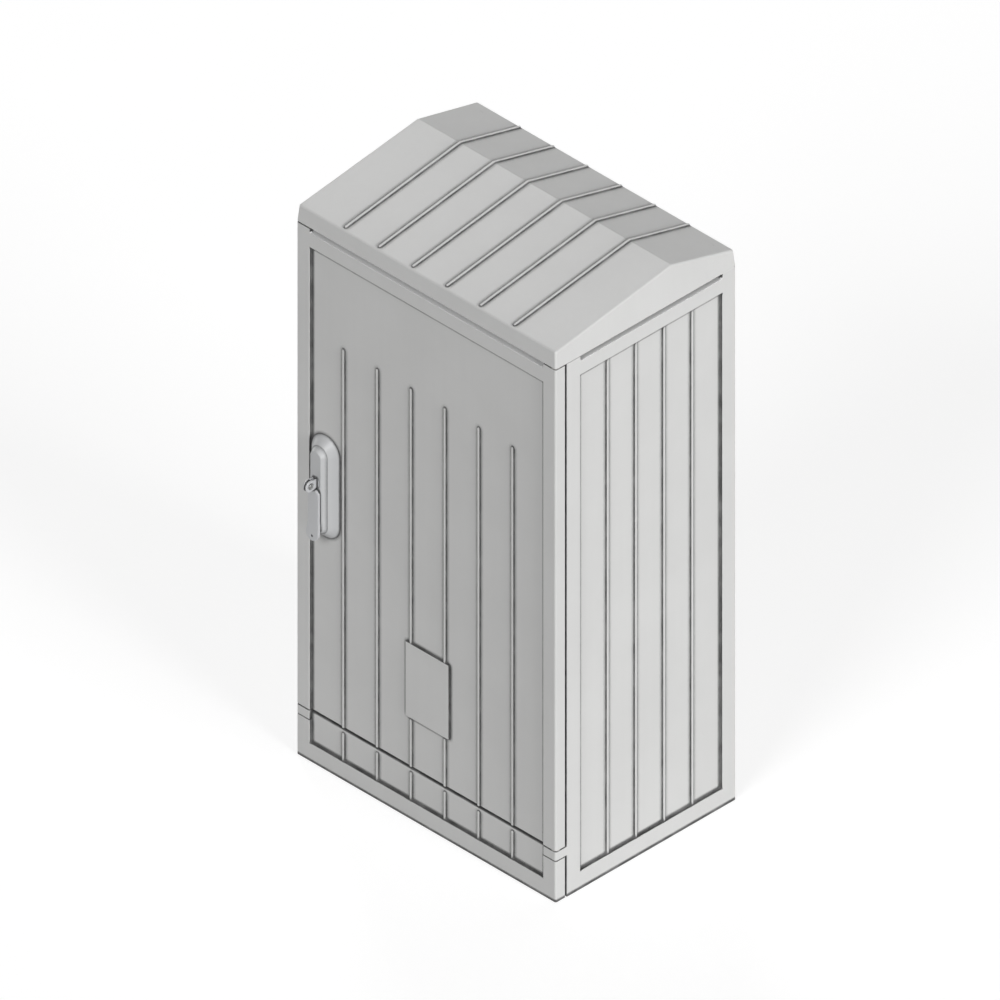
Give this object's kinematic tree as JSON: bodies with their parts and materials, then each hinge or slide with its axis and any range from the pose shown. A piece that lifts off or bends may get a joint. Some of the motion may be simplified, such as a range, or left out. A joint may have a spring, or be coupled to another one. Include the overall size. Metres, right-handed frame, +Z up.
{
  "type": "outdoor electrical enclosure",
  "caption": "Free-standing polyester equipment cabinet with a ribbed hinged door, a lift-and-turn handle driving locking rods, fixed lower panel, air slots, pitched roof and mounting plate.",
  "frame": {"origin": "centre of the footprint on the ground, which is also the centre of the anchor holes", "axes": "+Z up; the front with the door faces -Y; +X to the right seen from the front, where the hinge is"},
  "size_m": [0.46, 0.3545, 0.8758],
  "materials": {
    "shell": "glass-fibre polyester, moulded, fine satin texture",
    "housing": "grey polyamide, satin",
    "handle": "grey powder-coated zinc casting",
    "steel": "zinc-plated steel",
    "plate": "galvanised sheet steel",
    "guide": "black polyamide",
    "bush": "natural white acetal",
    "seal": "black EPDM rubber"
  },
  "bodies": {
    "cabinet": {"roof": "shell", "left_side_wall": "shell", "right_side_wall": "shell", "rear_wall": "shell", "lower_front_panel": "shell", "base_frame": "shell", "top_frame": "shell", "front_sill": "shell", "lower_hinge_pin": "steel", "upper_hinge_pin": "steel", "lock_keeper": "steel", "keeper_screws": "steel", "mounting_plate": "plate", "plate_posts": "steel", "plate_screws": "steel", "base_screws": "steel", "frame_screws": "steel", "roof_screws": "steel", "wall_screws": "steel", "sill_screws": "steel", "panel_screws": "steel"},
    "door": {"door": "shell", "door_seal": "seal", "lower_hinge_bush": "bush", "upper_hinge_bush": "bush", "lock_escutcheon": "housing", "lock_case": "steel", "lock_cover": "steel", "lock_screws": "steel", "cover_screws": "steel", "upper_rod_guide": "guide", "lower_rod_guide": "guide", "guide_screws": "steel"},
    "handle": {"handle_head": "handle", "lever_pin": "steel", "lock_spindle": "steel", "lock_pinion": "steel", "lock_tongue": "steel", "tongue_screw": "steel"},
    "lever": {"lift_lever": "handle"},
    "upper_rod": {"upper_rod": "steel"},
    "lower_rod": {"lower_rod": "steel"}
  },
  "joints": [
    {"name": "door_hinge", "type": "hinge", "parent": "cabinet", "child": "door", "pos_m": [0.224, -0.154, 0.45], "axis": [0, 0, 1], "range_deg": [0, 120]},
    {"name": "handle_turn", "type": "hinge", "parent": "door", "child": "handle", "pos_m": [-0.1815, -0.16, 0.449], "axis": [0, -1, 0], "range_deg": [0, 90]},
    {"name": "lever_lift", "type": "hinge", "parent": "handle", "child": "lever", "pos_m": [-0.1815, -0.186, 0.449], "axis": [-1, 0, 0], "range_deg": [0, 80]},
    {"name": "upper_rod_slide", "type": "slide", "parent": "door", "child": "upper_rod", "axis": [0, 0, -1], "range_m": [0, 0.0138]},
    {"name": "lower_rod_slide", "type": "slide", "parent": "door", "child": "lower_rod", "axis": [0, 0, 1], "range_m": [0, 0.0138]}
  ],
  "couplings": [
    {"joint": "upper_rod_slide", "follows": "handle_turn", "m_per_rad": 0.00875},
    {"joint": "lower_rod_slide", "follows": "handle_turn", "m_per_rad": 0.00875}
  ]
}
